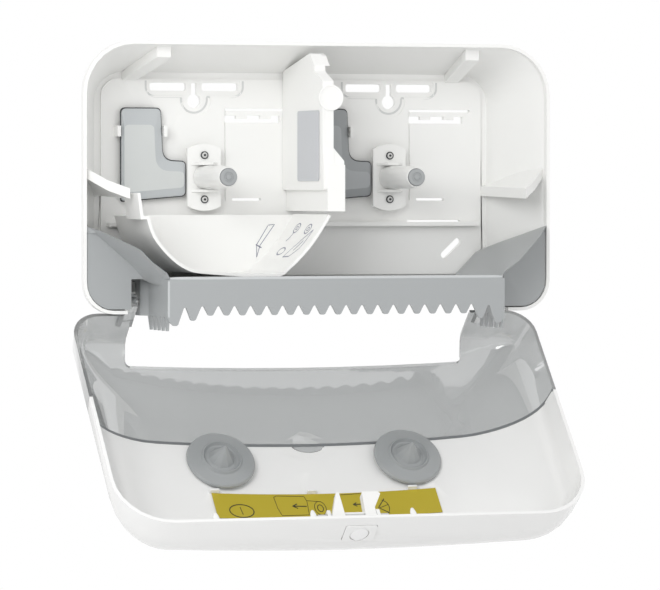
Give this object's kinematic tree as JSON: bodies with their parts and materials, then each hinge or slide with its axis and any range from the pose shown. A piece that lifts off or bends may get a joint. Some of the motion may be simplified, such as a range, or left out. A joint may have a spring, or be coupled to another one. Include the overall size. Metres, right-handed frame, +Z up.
{
  "type": "twin roll toilet paper dispenser",
  "caption": "Wall dispenser for two coreless toilet rolls, open: white housing with spindles and grey tear bar, cover with smoke window swung down.",
  "frame": {"origin": "on the wall plane in the middle of the rear face, at the height of the roll spindles", "axes": "+Z up, +Y into the wall, +X to the right for a user who faces the dispenser"},
  "size_m": [0.3624, 0.1611, 0.3693],
  "materials": {
    "shell": "satin",
    "grey": "satin",
    "pale": "satin",
    "smoke": "glossy",
    "steel": "brushed",
    "label_olive": "matte",
    "label_grey": "matte"
  },
  "bodies": {
    "back_unit": {"back_shell": "shell", "tear_bar": "grey", "centre_partition": "shell", "partition_label": "label_grey", "spindle_bracket_left": "shell", "spindle_bracket_right": "shell", "bracket_screw_left_upper": "steel", "bracket_screw_left_lower": "steel", "bracket_screw_right_upper": "steel", "bracket_screw_right_lower": "steel", "hinge_pin_left": "steel", "hinge_pin_right": "steel"},
    "cover": {"cover_shell": "shell", "cover_window": "smoke", "instruction_label": "label_olive", "lock_bezel": "shell", "latch_pin": "steel"},
    "shutter": {"roll_shutter": "shell"},
    "spindle_left": {"spindle_sleeve_left": "shell", "spindle_cap_left": "grey"},
    "spindle_right": {"spindle_sleeve_right": "shell", "spindle_cap_right": "grey"},
    "sensor_left": {"roll_sensor_left": "grey"},
    "sensor_right": {"roll_sensor_right": "grey"},
    "cone_left": {"roll_cone_left": "grey"},
    "cone_right": {"roll_cone_right": "grey"},
    "button": {"lock_button": "pale"},
    "latch": {"latch_lever": "shell"}
  },
  "joints": [
    {"name": "cover_hinge", "type": "hinge", "parent": "back_unit", "child": "cover", "pos_m": [0, -0.047, -0.091], "axis": [-1, 0, 0], "range_deg": [0, 137]},
    {"name": "shutter_slide", "type": "slide", "parent": "back_unit", "child": "shutter", "axis": [1, 0, 0], "range_m": [0, 0.138]},
    {"name": "spindle_left_spin", "type": "hinge", "parent": "back_unit", "child": "spindle_left", "pos_m": [-0.073, -0.0145, 0], "axis": [0, -1, 0], "continuous": true},
    {"name": "spindle_right_spin", "type": "hinge", "parent": "back_unit", "child": "spindle_right", "pos_m": [0.073, -0.0145, 0], "axis": [0, -1, 0], "continuous": true},
    {"name": "sensor_left_tilt", "type": "hinge", "parent": "back_unit", "child": "sensor_left", "pos_m": [-0.12137, -0.0112, 0.034], "axis": [1, 0, 0], "range_deg": [0, 5], "stiffness_Nm_per_rad": 0.3},
    {"name": "sensor_right_tilt", "type": "hinge", "parent": "back_unit", "child": "sensor_right", "pos_m": [0.02463, -0.0112, 0.034], "axis": [1, 0, 0], "range_deg": [0, 5], "stiffness_Nm_per_rad": 0.3},
    {"name": "cone_left_spin", "type": "hinge", "parent": "cover", "child": "cone_left", "pos_m": [-0.073, -0.05228, -0.20913], "axis": [0, 0.7314, -0.682], "continuous": true},
    {"name": "cone_right_spin", "type": "hinge", "parent": "cover", "child": "cone_right", "pos_m": [0.073, -0.05228, -0.20913], "axis": [0, 0.7314, -0.682], "continuous": true},
    {"name": "button_press", "type": "slide", "parent": "cover", "child": "button", "axis": [0, 0.682, 0.7314], "range_m": [0, 0.002], "stiffness_N_per_m": 400},
    {"name": "latch_tilt", "type": "hinge", "parent": "cover", "child": "latch", "pos_m": [0, -0.1485, -0.24383], "axis": [1, 0, 0], "range_deg": [0, 16], "stiffness_Nm_per_rad": 0.05}
  ],
  "couplings": [
    {"joint": "latch_tilt", "follows": "button_press", "rad_per_m": 139.63}
  ]
}
